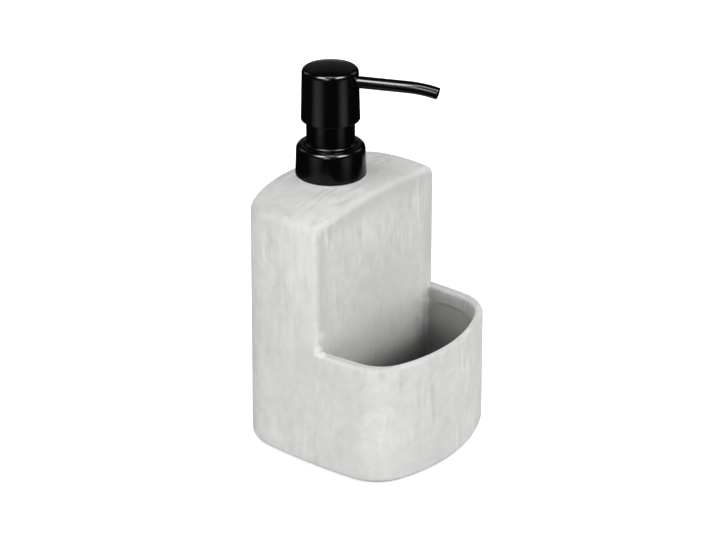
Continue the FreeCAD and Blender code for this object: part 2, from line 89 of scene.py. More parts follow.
AXIS = pump_axis()
UP = (0, 0, 1)
BODY_LOW, BODY_HIGH = box_of("caddy_body")
NECK_TOP = box_of("neck_insert")[1].z
SPRING_LOW, SPRING_HIGH = box_of("return_spring")
POCKET_LOW, POCKET_HIGH = named(frame["record"]["physics"]["openings"], "sponge_pocket")["box_m"]
POCKET_MIDDLE_Y = (POCKET_LOW[1] + POCKET_HIGH[1]) / 2


# Settings that a user would change

class CaddyStonewareSettings(bpy.types.PropertyGroup):
    clay: bpy.props.FloatVectorProperty(
        name="Clay", description="Grey of the bare stoneware", subtype="COLOR", size=3, min=0, max=1,
        default=(0.52, 0.52, 0.51))
    wash: bpy.props.FloatVectorProperty(
        name="Wash", description="Pale wash brushed over the clay", subtype="COLOR", size=3, min=0, max=1,
        default=(0.69, 0.69, 0.68))
    # Painted shade: the dark colour laid deep in the pocket, in bands and a crease line on its far side, and
    # near the foot.
    painted_shade: bpy.props.FloatVectorProperty(
        name="Pocket clay", description="Unwashed clay deep in the pocket", subtype="COLOR", size=3,
        min=0, max=1, default=(0.15, 0.15, 0.145))
    # Pale slip at the joints; the same colour is painted on as light on the rim's inner lip and beside the
    # right joint, and the seam's paleness paints a highlight.
    slip: bpy.props.FloatVectorProperty(
        name="Slip", description="Pale slip left where the pocket joins the bottle", subtype="COLOR", size=3,
        min=0, max=1, default=(0.80, 0.80, 0.79))
    rim_height: bpy.props.FloatProperty(
        name="Rim height", description="Height of the pocket rim", unit="LENGTH", default=0.0626)
    brow_height: bpy.props.FloatProperty(
        name="Brow height", description="Height of the bottle's front edge at its middle", unit="LENGTH",
        default=0.1298)
    divider: bpy.props.FloatProperty(
        name="Dividing wall", description="Place of the wall between pocket and bottle", unit="LENGTH",
        default=-0.0056)
    lean: bpy.props.FloatProperty(
        name="Lean", description="How far each side leans in per unit of height", default=0.0145)
    joint: bpy.props.FloatProperty(
        name="Pocket joint", description="Where the pocket's inner side meets the dividing wall",
        unit="LENGTH", default=0.0436)
    roughness: bpy.props.FloatProperty(
        name="Roughness", description="Roughness of the matt surface", subtype="FACTOR", min=0, max=1,
        default=0.86)


class CaddyPumpSettings(bpy.types.PropertyGroup):
    black: bpy.props.FloatVectorProperty(
        name="Black", description="Colour of the satin black coat", subtype="COLOR", size=3, min=0, max=1,
        default=(0.0011, 0.0011, 0.0011))
    black_roughness: bpy.props.FloatProperty(
        name="Black roughness", description="Roughness of the satin coat", subtype="FACTOR", min=0, max=1,
        default=0.17)
    black_specular: bpy.props.FloatProperty(
        name="Black specular", description="Strength of the coat's mirror", subtype="FACTOR", min=0, max=1,
        default=0.22)
    milky: bpy.props.FloatVectorProperty(
        name="Milky plastic", description="Colour of the moulded engine pieces", subtype="COLOR", size=3,
        min=0, max=1, default=(0.74, 0.75, 0.74))
    steel: bpy.props.FloatVectorProperty(
        name="Steel", description="Colour of the spring and the ball", subtype="COLOR", size=3, min=0, max=1,
        default=(0.60, 0.60, 0.61))
    neck_radius: bpy.props.FloatProperty(
        name="Neck radius", description="Plain radius of the neck under its thread", unit="LENGTH",
        default=0.0133)
    thread_pitch: bpy.props.FloatProperty(
        name="Thread pitch", description="Rise of the neck thread in one turn", unit="LENGTH", default=0.0042)
    thread_depth: bpy.props.FloatProperty(
        name="Thread depth", description="How far the thread stands out of the neck", unit="LENGTH",
        default=0.00028)
    thread_turns: bpy.props.FloatProperty(
        name="Thread turns", description="How often the thread runs round the neck", min=0.5, default=1.5)
    thread_drop: bpy.props.FloatProperty(
        name="Thread drop", description="Distance from the neck's top to the thread's end", unit="LENGTH",
        default=0.0012)
    spring_wire: bpy.props.FloatProperty(
        name="Spring wire", description="Thickness of the spring wire", unit="LENGTH", default=0.0009)
    spring_end_pitch: bpy.props.FloatProperty(
        name="End pitch", description="Pitch of the closed end turns", unit="LENGTH", default=0.00145)
    spring_active_turns: bpy.props.IntProperty(
        name="Active turns", description="Open turns between the two end turns", min=2, default=5)


class CaddyStageSettings(bpy.types.PropertyGroup):
    camera_target: bpy.props.FloatVectorProperty(
        name="Camera target", description="Point at the middle of the picture", subtype="TRANSLATION", size=3,
        default=(-0.00083, 0.00551, 0.08516))
    camera_place: bpy.props.FloatVectorProperty(
        name="Camera place", description="Where the camera stands", subtype="TRANSLATION", size=3,
        default=(-0.6481, -0.4684, 0.4766))
    lens: bpy.props.FloatProperty(
        name="Lens", description="Focal length of the camera in millimetres", default=92.03)
    sky: bpy.props.FloatProperty(
        name="Sky", description="Strength of the even light from all round", min=0, default=0.47)
    left_light: bpy.props.FloatProperty(
        name="Left light", description="Power of the upright softbox at the left", unit="POWER", default=4.75)
    right_light: bpy.props.FloatProperty(
        name="Right light", description="Power of the upright softbox at the right", unit="POWER",
        default=5.3)
    top_light: bpy.props.FloatProperty(
        name="Top light", description="Power of the softbox overhead", unit="POWER", default=2.95)
    back_light: bpy.props.FloatProperty(
        name="Back light", description="Power of the low softbox behind the set", unit="POWER", default=2.6)
    side_card: bpy.props.FloatProperty(
        name="Side cards", description="Brightness of the pale cards beside the set", min=0, default=41.0)
    low_card: bpy.props.FloatProperty(
        name="Low cards", description="Brightness of the dim cards near the floor", min=0, default=1.5)
    front_card: bpy.props.FloatProperty(
        name="Front card", description="Brightness of the pale card over the camera", min=0, default=14.0)
    edge_card: bpy.props.FloatProperty(
        name="Edge cards", description="Brightness of the cards that light the far edges", min=0, default=1.4)
    back_card: bpy.props.FloatProperty(
        name="Back card", description="Brightness of the dim card behind the set", min=0, default=0.1)


# Small tools for meshes

def object_from(name, bm, material):
    """Turn a bmesh into an object with one material."""
    mesh = bpy.data.meshes.new(name)
    bm.to_mesh(mesh)
    bm.free()
    mesh.materials.append(material)
    thing = bpy.data.objects.new(name, mesh)
    bpy.context.scene.collection.objects.link(thing)
    return thing


def piece_from(name, bm, body, material):
    """Turn a bmesh into a smooth finished piece that rides on a body."""
    for face in bm.faces:
        face.smooth = True
    piece = object_from(name, bm, material)
    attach(piece, body)
    return piece


def spin_up(bm, geom, turns, pitch, steps_per_turn):
    """Wind a profile round the pump's axis and return the profile at the far end."""
    steps = round(turns * steps_per_turn)
    made = bmesh.ops.spin(
        bm, geom=geom, cent=AXIS, axis=UP, dvec=(0, 0, turns * pitch / steps), angle=math.tau * turns,
        steps=steps, use_merge=False, use_normal_flip=False, use_duplicate=False)
    return made["geom_last"]


def close_ends(bm, sides):
    """Cap both ends of a wound profile and turn its faces outwards."""
    open_edges = [edge for edge in bm.edges if edge.is_boundary]
    bmesh.ops.holes_fill(bm, edges=open_edges, sides=sides)
    bmesh.ops.recalc_face_normals(bm, faces=bm.faces)


def dress(material, *names):
    """Give CAD nodes their finish."""
    for name in names:
        slots = nodes[name].data.materials
        slots.clear()
        slots.append(material)


def heading_to(azimuth, elevation=0.0):
    """Direction out of the set: azimuth in degrees from the front, elevation in degrees."""
    turn, rise = math.radians(azimuth), math.radians(elevation)
    return Vector((math.sin(turn) * math.cos(rise), -math.cos(turn) * math.cos(rise), math.sin(rise)))


# Small tools for materials

class Ramp(NamedTuple):
    """A change from one value to another while a measure goes from start to end."""
    start: float
    end: float
    low: float = 0.0
    high: float = 1.0


NOISE_RANGE = (0.3, 0.7)  # what a noise mostly fills of nought to one
NOISE_MIDDLE = 0.5
PATCH_EDGE, SEAM_EDGE = (1.4, 0.6), (1.5, 0.6)  # where an edge begins and is full, as shares of the radius


class NodeKit:
    """Makes nodes in a tree and links them. A value is a socket or a number."""

    def __init__(self, tree):
        self.tree = tree
        tree.nodes.clear()

    def add(self, kind, **settings):
        """A new node with some of its settings."""
        node = self.tree.nodes.new(kind)
        for key, value in settings.items():
            setattr(node, key, value)
        return node

    def join(self, source, target):
        """Link an output to an input."""
        self.tree.links.new(source, target)

    def feed(self, socket, value):
        """Link an input to a socket, or give it a number."""
        if isinstance(value, bpy.types.NodeSocket):
            self.join(value, socket)
        else:
            socket.default_value = value

    def math(self, operation, *values):
        """The result of one sum."""
        node = self.add("ShaderNodeMath", operation=operation)
        for socket, value in zip(node.inputs, values):
            self.feed(socket, value)
        return node.outputs["Value"]

    def times(self, value, *others):
        """The product of all values."""
        for other in others:
            value = self.math("MULTIPLY", value, other)
        return value

    def most(self, value, *others):
        """The largest of all values."""
        for other in others:
            value = self.math("MAXIMUM", value, other)
        return value

    def plus(self, first, second):
        return self.math("ADD", first, second)

    def minus(self, first, second):
        return self.math("SUBTRACT", first, second)

    def scaled(self, value, factor, base):
        """Value times factor plus base."""
        return self.math("MULTIPLY_ADD", value, factor, base)

    def size(self, value):
        return self.math("ABSOLUTE", value)

    def under(self, value, limit):
        return self.math("LESS_THAN", value, limit)

    def over(self, value, limit):
        return self.math("GREATER_THAN", value, limit)

    def outside(self, mask):
        """One where a mask is nought."""
        return self.minus(1.0, mask)

    def ramp(self, value, ramp, smooth=True):
        """What a ramp makes of a value."""
        node = self.add("ShaderNodeMapRange", interpolation_type="SMOOTHSTEP" if smooth else "LINEAR")
        for socket, number in zip(node.inputs, (value, *ramp)):
            self.feed(socket, number)
        return node.outputs["Result"]

    def vary(self, noise, low, high):
        """Spread what a noise mostly fills over two values."""
        return self.ramp(noise, Ramp(*NOISE_RANGE, low, high))

    def vector(self, operation, first, second, output="Value"):
        """The result of one sum with a vector and a constant vector."""
        node = self.add("ShaderNodeVectorMath", operation=operation)
        self.join(first, node.inputs[0])
        node.inputs[1].default_value = second
        return node.outputs[output]

    def axes(self, vector):
        """The three parts of a vector."""
        node = self.add("ShaderNodeSeparateXYZ")
        self.join(vector, node.inputs["Vector"])
        return node.outputs["X"], node.outputs["Y"], node.outputs["Z"]

    def shown(self):
        """One for rays that show a background: from the camera, in a mirror or through glass."""
        path = self.add("ShaderNodeLightPath").outputs
        return self.most(path["Is Camera Ray"], path["Is Glossy Ray"], path["Is Transmission Ray"])


class Recipe(NodeKit):
    """A material being mixed, with its shader and its place on the piece at hand."""

    def __init__(self, name):
        self.material = bpy.data.materials.new(name)
        self.material.use_nodes = True
        super().__init__(self.material.node_tree)
        self.shader = self.add("ShaderNodeBsdfPrincipled")
        output = self.add("ShaderNodeOutputMaterial")
        self.join(self.shader.outputs["BSDF"], output.inputs["Surface"])
        self.place = self.add("ShaderNodeTexCoord").outputs["Object"]

    def set(self, name, value):
        """Give one of the shader's inputs a socket or a constant."""
        self.feed(self.shader.inputs[name], value)

    def noise(self, scale=1.0, detail=2.0, roughness=0.5, stretch=None, distortion=0.0):
        """A noise over the piece, if wished with its own scale along each axis."""
        node = self.add("ShaderNodeTexNoise")
        node.inputs["Scale"].default_value = scale
        node.inputs["Detail"].default_value = detail
        node.inputs["Roughness"].default_value = roughness
        node.inputs["Distortion"].default_value = distortion
        source = self.place
        if stretch is not None:
            mapping = self.add("ShaderNodeMapping")
            mapping.inputs["Scale"].default_value = stretch
            self.join(source, mapping.inputs["Vector"])
            source = mapping.outputs["Vector"]
        self.join(source, node.inputs["Vector"])
        return node.outputs["Fac"]

    def mix(self, factor, first, second, blend="MIX"):
        """Two colours mixed by a factor."""
        node = self.add("ShaderNodeMix", data_type="RGBA", blend_type=blend)
        self.feed(node.inputs["Factor"], factor)
        colours = [socket for socket in node.inputs if socket.type == "RGBA"]
        for socket, colour in zip(colours, (first, second)):
            if isinstance(colour, bpy.types.NodeSocket):
                self.join(colour, socket)
            else:
                socket.default_value = (*colour, 1.0)
        return [socket for socket in node.outputs if socket.type == "RGBA"][0]

    def bump(self, height, strength, distance, before=None):
        """A normal that makes a height look raised, on top of an earlier one."""
        node = self.add("ShaderNodeBump")
        node.inputs["Strength"].default_value = strength
        node.inputs["Distance"].default_value = distance
        self.join(height, node.inputs["Height"])
        if before is not None:
            self.join(before, node.inputs["Normal"])
        return node.outputs["Normal"]

    def spot(self, centre, radius, ragged):
        """One inside a ragged round patch about a point, nought outside it."""
        away = self.plus(self.vector("DISTANCE", self.place, centre), ragged)
        return self.ramp(away, Ramp(*(radius * share for share in PATCH_EDGE)))

    def seam(self, line, radius, ragged):
        """One along an upright line through a plan point, nought away from it."""
        flat = self.vector("MULTIPLY", self.place, (1.0, 1.0, 0.0), "Vector")
        away = self.plus(self.vector("DISTANCE", flat, (*line, 0.0)), ragged)
        return self.ramp(away, Ramp(*(radius * share for share in SEAM_EDGE)))


# The stoneware's marks: facings are parts of a face's normal, all other measures are in metres

# Which way a face looks
TOP_FACING = Ramp(0.55, 0.85)
FLANK_FACING = Ramp(0.6, 0.9)
EDGE_BEGINS, EDGE_ENDS = Ramp(0.08, 0.35), Ramp(0.96, 0.75)
# Painted shade: faces turned to the back get less wash, so they come out darker.
BACK_SHADE = Ramp(0.05, 0.7, 0.0, -0.45)
CORNER_HEADING = (-0.81, -0.59)
CORNER_CHALK = Ramp(0.92, 1.0, 0.0, 0.18)
WALL_FACING = -0.6
FLOOR_FACING = 0.3

# Where the pocket, the dividing wall and the brow are
FACE_SLACK = 0.0003
WALL_FILLET, WALL_EDGE = 0.002, 0.0035
BROW_FALL = 1.7
POCKET_FLOOR = 0.004

# The wash, with its clouds, strokes, a darker band along the edges, chalky places and a painted lighter band
# on the dividing wall
CLOUD_SCALE, VEIL_SCALE, MOTTLE_SCALE = 34.0, 55.0, 150.0
UPRIGHT_STRETCH, LEVEL_STRETCH = (360.0, 360.0, 48.0), (80.0, 330.0, 330.0)
PATCHY, VERY_PATCHY = (0.6, 1.2), (0.4, 1.4)
STROKE_LOAD = Ramp(0.050, 0.006, 0.5, 1.3)
STROKE_VEIL = Ramp(0.42, 0.60, 0.05, 1.1)
STROKE_MIDDLE = 0.48
EDGE_CALM = -0.75
EVEN_COVER = 0.5
CLOUD_GAIN, MOTTLE_GAIN, STROKE_GAIN = 0.8, 0.9, 1.9
# A darker band a few millimetres in from the side and top edges, above the rim.
EDGE_DARK_OUTER, EDGE_DARK_INNER = Ramp(0.0, 0.0035), Ramp(0.0130, 0.0035)
EDGE_DARK_GAIN = -0.5
# Painted light: the dividing wall gets paler from this height down to the rim, lightening its shaded lower
# part.
WALL_LIGHT_TOP, WALL_LIGHT_GAIN = 0.095, 0.45
FLANK_AHEAD = Ramp(0.020, 0.004)
FLANK_TOP = 0.100
FLANK_CHALK = Ramp(0.38, 0.62, 0.05, 0.34)
BRIM_CHALK = Ramp(0.034, 0.010, 0.0, 0.18)

# Painted shade: darker deep in the pocket, in two bands and a crease line on its far side, and near the foot
SHADE_DEPTH = Ramp(0.014, 0.0355)
SHADE_TILT = Ramp(-0.045, 0.040, -0.003, 0.003)
FAR_SIDE = Ramp(0.030, 0.042)
# Painted shade: two darker bands below the rim on the pocket's far side, their edge wandering with the
# clouds.
SHADE_WANDER = 0.006
SHADE_UPPER, SHADE_LOWER = Ramp(0.0005, 0.006, 0.0, 0.26), Ramp(0.007, 0.010, 0.0, 0.22)
# Painted shadow: a dark crease line on the pocket's far side.
CREASE_DEPTH = 0.0082
CREASE_WIDTH = Ramp(0.0013, 0.0003)
CREASE_FRONT, CREASE_BACK = Ramp(-0.034, -0.026), Ramp(-0.008, -0.014)
CREASE_SHADOW_GAIN = 0.45
# Painted shade: darker near the foot, standing in for a contact shadow.
FOOT_TOP, FOOT_FULL, FOOT_SHADE = 0.0026, 0.0004, 0.45

# The slip at the joints, places being counted from the left joint at the rim, and the painted light on the
# rim's inner lip and beside the right joint
RAGGED_SCALE, RAGGED = 420.0, 0.006
BLOB_PLACE, BLOB_RADIUS = Vector((0.0030, -0.001, 0.0010)), 0.0030
SMEAR_PLACE, SMEAR_RADIUS, SMEAR_GAIN = Vector((0.0050, 0.0, 0.0085)), 0.0028, 0.6
# The seam at the right joint is slip with a raised bump; its paleness also paints a highlight along the
# joint.
SEAM_AHEAD, SEAM_RADIUS, SEAM_RAGGED = 0.0006, 0.0008, 0.5
SEAM_TOP, SEAM_FOOT = Ramp(-0.004, -0.001), Ramp(0.028, 0.006)
SEAM_PATCHES = Ramp(0.35, 0.6, 0.3, 1.0)
# Painted light: pale colour on the rim's inner lip, lightening its shaded inner rounding.
LIP_DEPTH, LIP_ACROSS = Ramp(0.0045, 0.0010), Ramp(0.040, 0.010, 0.0, 0.5)
# Painted light: pale colour on the dividing wall beside the right joint, lightening the corner's shade.
JOINT_LIGHT_ACROSS = Ramp(0.0, 0.040, 0.0, 0.8)
JOINT_LIGHT_TOP, JOINT_LIGHT_FOOT = Ramp(-0.016, 0.004), Ramp(0.030, 0.013)
SLIP_GAIN = 0.85

# The grain and the sheen
GRAIN_SCALE = 2600.0
SPECKLE = Ramp(0.35, 0.75, 0.96, 1.03)
STONEWARE_ROUGHNESS_SWING = 0.06
STONEWARE_SPECULAR = 0.22


class StonewareGround:
    """Noises, masks and heights on the body that the steps of its finish share."""

    def __init__(self, r, settings):
        self.x, self.y, self.z = r.axes(r.place)
        normal = r.add("ShaderNodeNewGeometry").outputs["Normal"]
        self.facing_x, self.facing_y, self.facing_z = r.axes(normal)
        self.noises(r)
        self.outside_masks(r, settings)
        self.pocket_masks(r, settings)
        self.brow = r.scaled(r.times(self.x, self.x), -BROW_FALL, settings.brow_height)
        edge_height = r.scaled(r.minus(settings.rim_height, self.brow), self.at_pocket, self.brow)
        self.below_edge = r.minus(edge_height, self.z)
        self.depth = r.minus(settings.rim_height, self.z)

    def noises(self, r):
        """Clouds, mottling, grain and strokes, which run upright on the sides and level on the top."""
        self.clouds = r.noise(CLOUD_SCALE)
        self.mottling = r.noise(MOTTLE_SCALE, detail=3.0, roughness=0.55, distortion=0.6)
        self.grain = r.noise(GRAIN_SCALE, roughness=0.6)
        self.upright = r.noise(stretch=UPRIGHT_STRETCH, distortion=0.5)
        level = r.noise(stretch=LEVEL_STRETCH, distortion=0.5)
        on_top = r.ramp(self.facing_z, TOP_FACING)
        self.strokes = r.scaled(r.minus(level, self.upright), on_top, self.upright)

    def outside_masks(self, r, settings):
        """Flanks, rounded edges and the dividing wall's face."""
        self.on_flank = r.ramp(r.size(self.facing_x), FLANK_FACING)
        self.on_edge = r.times(r.ramp(self.facing_z, EDGE_BEGINS), r.ramp(self.facing_z, EDGE_ENDS))
        self.below_rim = r.under(self.z, settings.rim_height)
        self.before_wall_edge = r.under(self.y, settings.divider + WALL_EDGE)
        self.front_wall = r.times(
            r.over(self.y, settings.divider - WALL_FILLET), r.under(self.facing_y, WALL_FACING),
            self.before_wall_edge)

    def pocket_masks(self, r, settings):
        """The pocket's part of the body and its inner faces, which look towards its middle or up."""
        ahead = r.under(self.y, settings.divider + FACE_SLACK)
        self.at_pocket = r.times(ahead, self.below_rim, r.outside(self.front_wall))
        outward = r.scaled(
            r.minus(self.y, POCKET_MIDDLE_Y), self.facing_y, r.times(self.x, self.facing_x))
        self.inner_wall = r.under(outward, 0.0)
        inner = r.most(self.inner_wall, r.over(self.facing_z, FLOOR_FACING))
        self.in_pocket = r.times(inner, ahead, r.over(self.z, POCKET_FLOOR))


def wash_cover(r, at, settings):
    """How far the wash covers the clay: clouds and strokes, a darker band along the edges, chalky places, a
    painted lighter band on the dividing wall and painted shade on faces turned to the back.
    """
    veil = r.times(r.ramp(r.noise(VEIL_SCALE), STROKE_VEIL), r.ramp(at.below_edge, STROKE_LOAD))
    veil = r.times(veil, r.scaled(at.on_edge, EDGE_CALM, 1.0))
    cover = r.scaled(r.minus(at.clouds, NOISE_MIDDLE), CLOUD_GAIN, EVEN_COVER)
    cover = r.scaled(r.minus(at.mottling, NOISE_MIDDLE), MOTTLE_GAIN, cover)
    cover = r.scaled(r.times(veil, r.minus(at.strokes, STROKE_MIDDLE)), STROKE_GAIN, cover)

    # A darker band a few millimetres in from the side and top edges, above the rim.
    half_width = r.scaled(at.z, -settings.lean, BODY_HIGH.x)
    border = r.math("MINIMUM", r.minus(half_width, r.size(at.x)), r.minus(at.brow, at.z))
    edge_dark = r.times(
        r.ramp(border, EDGE_DARK_OUTER), r.ramp(border, EDGE_DARK_INNER), r.vary(at.mottling, *PATCHY),
        at.before_wall_edge, r.outside(at.below_rim))
    cover = r.scaled(edge_dark, EDGE_DARK_GAIN, cover)

    # Painted light: paler lower down the dividing wall, where the pocket shades it.
    wall_painted_light = Ramp(WALL_LIGHT_TOP, settings.rim_height, 0.0, WALL_LIGHT_GAIN)
    cover = r.plus(cover, r.times(at.front_wall, r.ramp(at.z, wall_painted_light)))
    flank = r.times(
        at.on_flank, r.ramp(at.y, FLANK_AHEAD), r.ramp(at.z, Ramp(settings.rim_height, FLANK_TOP)),
        r.outside(at.on_edge), r.under(at.y, AXIS.y), r.ramp(at.upright, FLANK_CHALK))
    cover = r.plus(cover, flank)
    brim = r.times(r.ramp(at.below_edge, BRIM_CHALK), r.outside(at.at_pocket), at.on_flank)
    cover = r.plus(cover, brim)
    # Painted shade: less wash on faces turned to the back, so they come out darker.
    cover = r.plus(cover, r.ramp(at.facing_y, BACK_SHADE))
    corner = r.times(at.facing_x, CORNER_HEADING[0])
    corner = r.ramp(r.scaled(at.facing_y, CORNER_HEADING[1], corner), CORNER_CHALK)
    return r.plus(cover, r.times(corner, at.below_rim, r.vary(at.mottling, *VERY_PATCHY)))


def pocket_painted_shade(r, at, settings, colour):
    """Painted shade: darker deep in the pocket, in two bands and a crease line on its far side, and near the
    foot.
    """
    # Painted shade: darker with depth in the pocket, the depth tilted across the front wall to follow the
    # shadow's edge.
    tilt = r.times(at.front_wall, r.ramp(at.x, SHADE_TILT, smooth=False))
    bare = r.times(at.in_pocket, r.ramp(r.minus(at.depth, tilt), SHADE_DEPTH))
    colour = r.mix(bare, colour, settings.painted_shade)
    # Painted shade: two darker bands below the rim on the pocket's far side.
    far_side = r.times(at.in_pocket, r.ramp(at.x, FAR_SIDE))
    shade_level = r.scaled(r.minus(at.clouds, NOISE_MIDDLE), SHADE_WANDER, at.depth)
    shade = r.plus(r.ramp(shade_level, SHADE_UPPER), r.ramp(shade_level, SHADE_LOWER))
    colour = r.mix(r.times(far_side, shade), colour, settings.painted_shade)
    # Painted shadow: a dark crease line on the far side.
    crease = r.times(
        r.ramp(r.size(r.minus(shade_level, CREASE_DEPTH)), CREASE_WIDTH), r.ramp(at.y, CREASE_FRONT),
        r.ramp(at.y, CREASE_BACK), far_side, CREASE_SHADOW_GAIN)
    colour = r.mix(crease, colour, settings.painted_shade)
    # Painted shade: darker near the foot.
    foot = Ramp(BODY_LOW.z + FOOT_TOP, BODY_LOW.z + FOOT_FULL, 0.0, FOOT_SHADE)
    return r.mix(r.ramp(at.z, foot), colour, settings.painted_shade)


def joint_slip(r, at, settings):
    """Thick slip where the pocket joins the bottle: a blob and a smear at the left, a seam at the right whose
    paleness also paints a highlight along the joint.
    """
    ragged = r.scaled(r.noise(RAGGED_SCALE, detail=4.0, roughness=0.7), RAGGED, -RAGGED / 2)
    left_joint = Vector((BODY_LOW.x, settings.divider, settings.rim_height))
    blob = r.spot(left_joint + BLOB_PLACE, BLOB_RADIUS, ragged)
    smear = r.times(r.spot(left_joint + SMEAR_PLACE, SMEAR_RADIUS, ragged), SMEAR_GAIN)
    right_joint = (settings.joint, settings.divider - SEAM_AHEAD)
    # The seam's paleness also paints a highlight along the joint.
    seam = r.times(
        r.seam(right_joint, SEAM_RADIUS, r.times(ragged, SEAM_RAGGED)), r.ramp(at.depth, SEAM_FOOT),
        r.ramp(at.depth, SEAM_TOP), r.ramp(at.mottling, SEAM_PATCHES))
    return r.most(blob, smear, seam)


def lip_and_joint_light(r, at, settings, colour):
    """Painted light: pale colour on the rim's inner lip and on the wall beside the right joint, lightening
    places in shade.
    """
    # Painted light on the rim's inner lip.
    lip = r.times(
        r.ramp(at.depth, LIP_DEPTH), r.ramp(at.x, LIP_ACROSS), at.inner_wall, at.at_pocket)
    colour = r.mix(lip, colour, settings.slip)
    # Painted light on the dividing wall beside the right joint.
    joint_light = r.times(
        at.front_wall, r.ramp(at.x, JOINT_LIGHT_ACROSS), r.ramp(at.depth, JOINT_LIGHT_TOP),
        r.ramp(at.depth, JOINT_LIGHT_FOOT), r.vary(at.mottling, *PATCHY))
    return r.mix(joint_light, colour, settings.slip)


def brushed_stoneware(settings):
    """Matt grey stoneware with a pale wash brushed on and slip left at the joints, with painted shade deep in
    the pocket and at the foot, and painted light on the inner lip and beside the right joint.
    """
    r = Recipe("brushed_stoneware")
    at = StonewareGround(r, settings)
    colour = r.mix(wash_cover(r, at, settings), settings.clay, settings.wash)
    colour = pocket_painted_shade(r, at, settings, colour)
    colour = lip_and_joint_light(r, at, settings, colour)
    slip = joint_slip(r, at, settings)
    colour = r.mix(r.times(slip, SLIP_GAIN), colour, settings.slip)
    speckle = r.ramp(at.grain, SPECKLE)
    speckled = r.add("ShaderNodeCombineColor")
    for channel in ("Red", "Green", "Blue"):
        r.join(speckle, speckled.inputs[channel])
    r.set("Base Color", r.mix(1.0, colour, speckled.outputs["Color"], "MULTIPLY"))
    swing = STONEWARE_ROUGHNESS_SWING
    r.set("Roughness", r.vary(at.strokes, settings.roughness - swing, settings.roughness + swing))
    r.set("Specular IOR Level", STONEWARE_SPECULAR)
    normal = r.bump(at.grain, strength=0.20, distance=0.0002)
    normal = r.bump(at.strokes, strength=0.15, distance=0.0003, before=normal)
    normal = r.bump(at.mottling, strength=0.25, distance=0.0008, before=normal)
    r.set("Normal", r.bump(slip, strength=0.5, distance=0.0006, before=normal))
    return r.material


# Other finishes

def toned(colour, factor):
    """A colour made darker or lighter by one factor."""
    return tuple(factor * part for part in colour)


def satin_black(settings):
    """Even satin black coat with the faint grain of a sprayed finish."""
    r = Recipe("satin_black_coat")
    grain = r.noise(3200.0)
    haze = r.noise(140.0, detail=3.0, roughness=0.55)
    r.set("Base Color", r.mix(grain, settings.black, toned(settings.black, 1.6)))
    r.set("Specular IOR Level", settings.black_specular)
    r.set("Roughness", r.vary(haze, settings.black_roughness - 0.02, settings.black_roughness + 0.03))
    r.set("Normal", r.bump(grain, strength=0.06, distance=0.00004))
    return r.material


def moulded_black(settings):
    """Plain black moulded plastic of the hidden closure pieces."""
    r = Recipe("moulded_black_plastic")
    grain = r.noise(1800.0, detail=3.0, roughness=0.6)
    r.set("Base Color", r.mix(grain, settings.black, toned(settings.black, 4.0)))
    r.set("Roughness", r.vary(grain, 0.45, 0.58))
    r.set("Normal", r.bump(grain, strength=0.15, distance=0.00008))
    return r.material


def milky_plastic(settings, name, clear):
    """Natural plastic of the pump engine, as clear as wished."""
    r = Recipe(name)
    flow = r.noise(detail=3.0, roughness=0.55, stretch=(260.0, 260.0, 40.0))
    r.set("Base Color", r.mix(r.vary(flow, 0.0, 1.0), toned(settings.milky, 0.88), settings.milky))
    r.set("Roughness", r.vary(flow, 0.26, 0.38))
    r.set("Transmission Weight", clear)
    r.set("IOR", 1.5)
    r.set("Normal", r.bump(flow, strength=0.06, distance=0.0002))
    return r.material


def drawn_steel(settings, name, roughness, fineness):
    """Bare spring steel with fine drawing marks."""
    r = Recipe(name)
    marks = r.noise(detail=3.0, roughness=0.6, stretch=(fineness, fineness, fineness))
    r.set("Base Color", r.mix(marks, toned(settings.steel, 0.82), settings.steel))
    r.set("Metallic", 1.0)
    r.set("Roughness", r.vary(marks, roughness - 0.05, roughness + 0.08))
    r.set("Normal", r.bump(marks, strength=0.05, distance=0.00004))
    return r.material


def soft_rubber(name, dark, pale):
    """Matt rubber with a fine moulded grain."""
    r = Recipe(name)
    grain = r.noise(2200.0, detail=3.0, roughness=0.6)
    r.set("Base Color", r.mix(grain, dark, pale))
    r.set("Roughness", r.vary(grain, 0.7, 0.85))
    r.set("Normal", r.bump(grain, strength=0.25, distance=0.0001))
    return r.material


# Operators for the pieces

PAD_DARK, PAD_PALE = (0.02, 0.02, 0.02), (0.05, 0.05, 0.05)
GASKET_DARK, GASKET_PALE = (0.55, 0.55, 0.53), (0.66, 0.66, 0.64)
RIDGE_FOOT_SHARE = 0.2  # half the thread ridge's foot, as a share of the pitch
RIDGE_CREST_SHARE = 0.4  # the ridge's crest, as a share of its foot
RIDGE_SINK = 0.0001
RIDGE_STEPS_PER_TURN = 64
WIRE_SIDES = 12
WIRE_STEPS_PER_TURN = 36


class CADDY_OT_body(bpy.types.Operator):
    """Finish the stoneware body and the pads under it"""
    bl_idname = "caddy.body"
    bl_label = "Stoneware body"

    def execute(self, context):
        dress(brushed_stoneware(context.scene.caddy_stoneware), "caddy_body")
        dress(soft_rubber("pad_rubber", PAD_DARK, PAD_PALE), "foot_pads")
        return {"FINISHED"}


